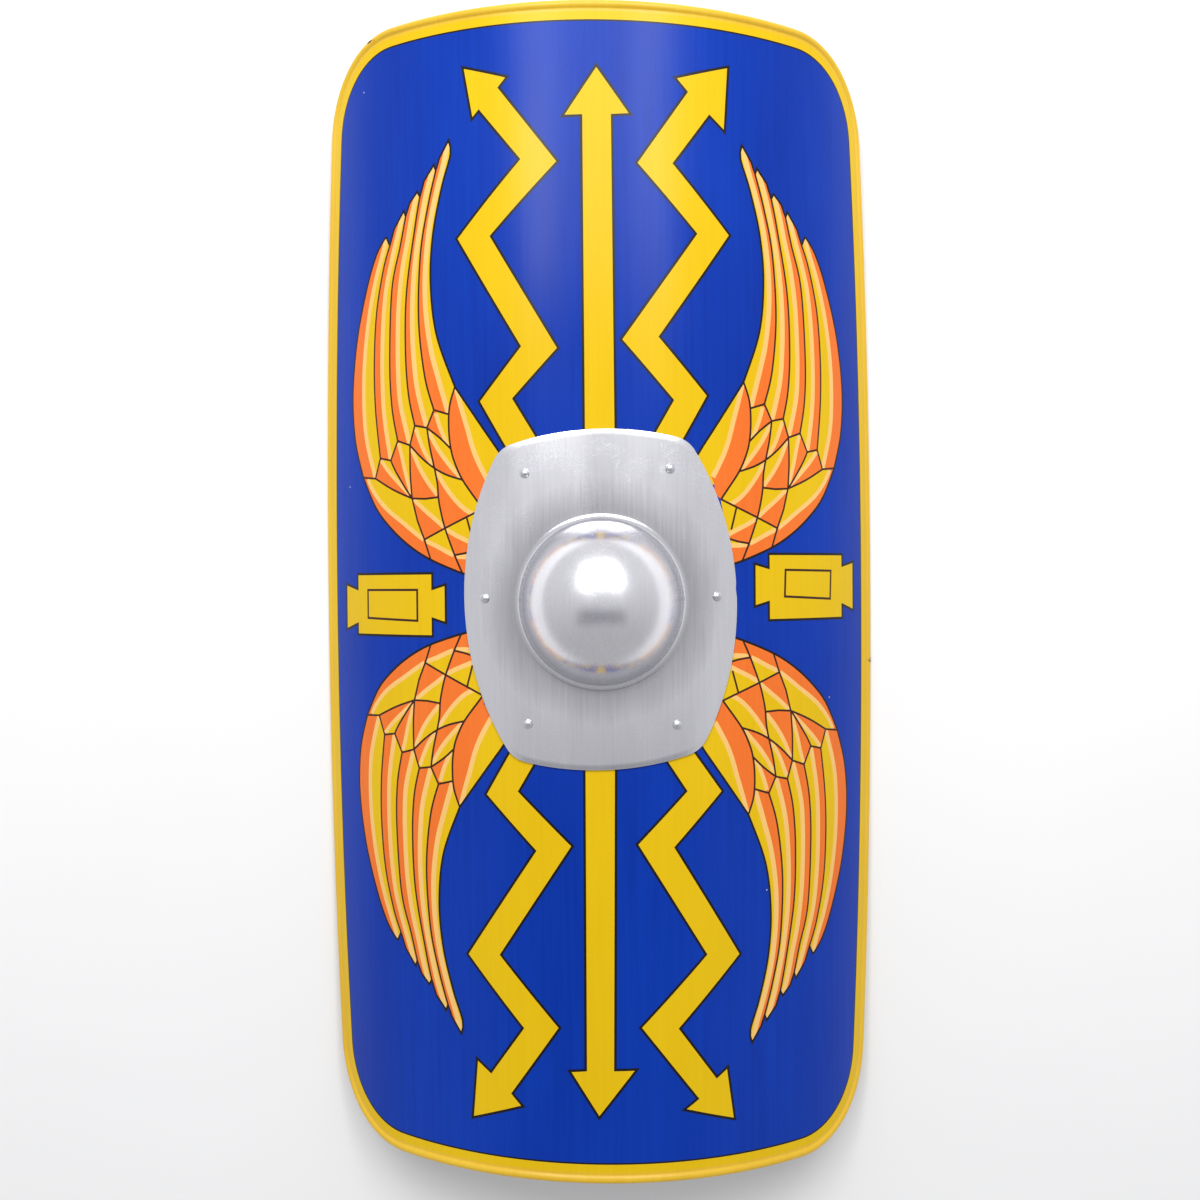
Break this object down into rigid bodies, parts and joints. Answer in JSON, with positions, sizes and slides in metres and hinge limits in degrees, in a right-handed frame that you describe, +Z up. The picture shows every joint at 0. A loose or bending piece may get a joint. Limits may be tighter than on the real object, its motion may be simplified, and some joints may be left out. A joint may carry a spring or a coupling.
{
  "type": "curved scutum shield",
  "caption": "Tall curved shield in painted sheet steel with a rolled edge, wings and lightning bolts round a domed steel boss, and a bar grip behind.",
  "frame": {"origin": "on the floor the shield lies on, midway between its long edges and its ends", "axes": "+Y towards the top edge, +X across the curve to the right seen from the front, +Z up and out of the painted front"},
  "size_m": [0.5454, 1.0746, 0.2],
  "materials": {
    "painted_steel": "gloss enamel in blue with yellow edge, bolts and tablets and orange and yellow wings",
    "satin_steel": "satin, finely brushed",
    "grip_wood": "oiled hardwood",
    "rivet_steel": "polished heads"
  },
  "bodies": {
    "root": {"shield_board": "painted_steel", "boss": "satin_steel", "hand_grip": "grip_wood", "rivet_top_left": "rivet_steel", "rivet_top_right": "rivet_steel", "rivet_middle_left": "rivet_steel", "rivet_middle_right": "rivet_steel", "rivet_bottom_left": "rivet_steel", "rivet_bottom_right": "rivet_steel"}
  },
  "joints": []
}
